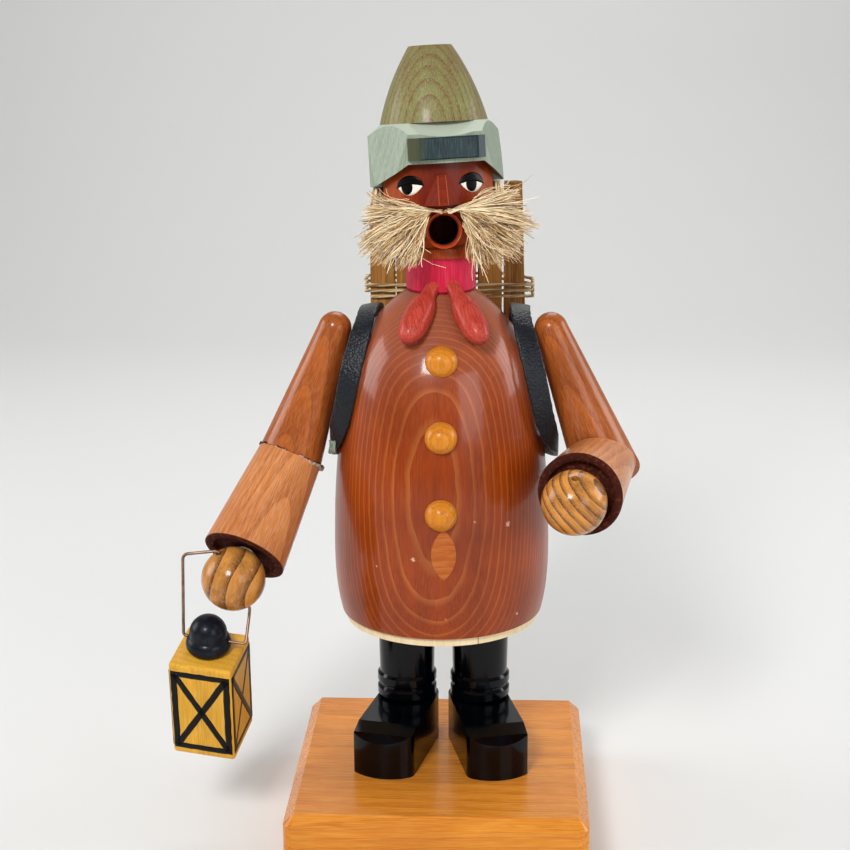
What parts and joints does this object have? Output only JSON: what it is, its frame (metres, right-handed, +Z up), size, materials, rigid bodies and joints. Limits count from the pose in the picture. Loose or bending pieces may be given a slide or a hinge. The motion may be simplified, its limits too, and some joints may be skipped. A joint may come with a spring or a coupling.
{
  "type": "german incense smoker",
  "caption": "Turned wooden incense smoker: a peddler with a hollow coat that lifts off its stand, a load of firewood on straps and a hanging lantern.",
  "frame": {"origin": "underside of the plinth, on the figure's turning axis", "axes": "+Z up, the figure faces -Y, +X to the viewer's right"},
  "size_m": [0.1861, 0.1414, 0.3137],
  "materials": {
    "honey_pine": "clear lacquered pine, fine straight grain",
    "black_lacquer_wood": "black gloss lacquer over turned wood",
    "pale_wood": "bare pale wood",
    "dish_brass": "thin pressed brass",
    "bright_steel": "small bright steel tacks",
    "incense_paste": "pressed incense powder, matt",
    "brown_stained_wood": "reddish brown stain, satin lacquer",
    "orange_gloss_wood": "orange-yellow stain, glossy",
    "red_stained_wood": "red stain, glossy",
    "orange_stained_wood": "orange-brown stain, satin",
    "green_stained_wood": "olive green stain, satin",
    "straw": "dry straw fibres",
    "light_brown_wood": "light brown stain, satin",
    "black_leather": "black pebbled leather, slight sheen",
    "split_wood": "split unfinished sticks",
    "twine": "twisted raffia twine",
    "ochre_wood": "yellow ochre stain, satin",
    "charcoal_wood": "charcoal paint over wood, satin",
    "wire_steel": "dull brown-grey iron wire"
  },
  "bodies": {
    "base": {"plinth": "honey_pine", "boot_left": "black_lacquer_wood", "boot_right": "black_lacquer_wood", "leg_left": "black_lacquer_wood", "leg_right": "black_lacquer_wood", "seat_disc": "pale_wood", "incense_dish": "dish_brass", "dish_tack": "bright_steel", "incense_cone": "incense_paste"},
    "figure": {"button_bottom": "orange_gloss_wood", "button_middle": "orange_gloss_wood", "button_top": "orange_gloss_wood", "coat": "brown_stained_wood", "collar": "red_stained_wood", "elbow_dowel_left": "pale_wood", "elbow_dowel_right": "pale_wood", "forearm_left": "light_brown_wood", "forearm_right": "light_brown_wood", "hair_left": "straw", "hair_right": "straw", "hand_left": "orange_gloss_wood", "hand_right": "orange_gloss_wood", "hat_brim": "green_stained_wood", "hat_crown": "green_stained_wood", "hat_dowel": "pale_wood", "hat_peak": "green_stained_wood", "head": "orange_stained_wood", "knot_patch": "brown_stained_wood", "moustache_left": "straw", "moustache_right": "straw", "neck_tube": "pale_wood", "nose": "orange_stained_wood", "scarf_end_left": "red_stained_wood", "scarf_end_right": "red_stained_wood", "shoulder_dowel_left": "pale_wood", "shoulder_dowel_right": "pale_wood", "stick_front_1": "split_wood", "stick_front_2": "split_wood", "stick_front_3": "split_wood", "stick_front_4": "split_wood", "stick_front_5": "split_wood", "stick_front_6": "split_wood", "stick_rear_1": "split_wood", "stick_rear_2": "split_wood", "stick_rear_3": "split_wood", "stick_rear_4": "split_wood", "strap_left": "black_leather", "strap_right": "black_leather", "strap_tacks": "bright_steel", "twine_lower": "twine", "twine_upper": "twine", "upper_arm_left": "light_brown_wood", "upper_arm_right": "light_brown_wood", "wrist_dowel_left": "pale_wood", "wrist_dowel_right": "pale_wood"},
    "bail": {"lantern_bail": "wire_steel"},
    "lantern": {"lantern_body": "ochre_wood", "lantern_knob": "charcoal_wood", "knob_peg": "pale_wood"}
  },
  "joints": [
    {"name": "coat_lift", "type": "slide", "parent": "base", "child": "figure", "axis": [0, 0, 1], "range_m": [0, 0.08]},
    {"name": "bail_turn", "type": "hinge", "parent": "figure", "child": "bail", "pos_m": [-0.07947, -0.04292, 0.11272], "axis": [-0.3877, -0.1775, 0.9045], "range_deg": [-25, 25]},
    {"name": "lantern_swing", "type": "hinge", "parent": "bail", "child": "lantern", "pos_m": [-0.0898, -0.04512, 0.08855], "axis": [0.9858, -0.1499, -0.0751], "range_deg": [-30, 20]}
  ]
}
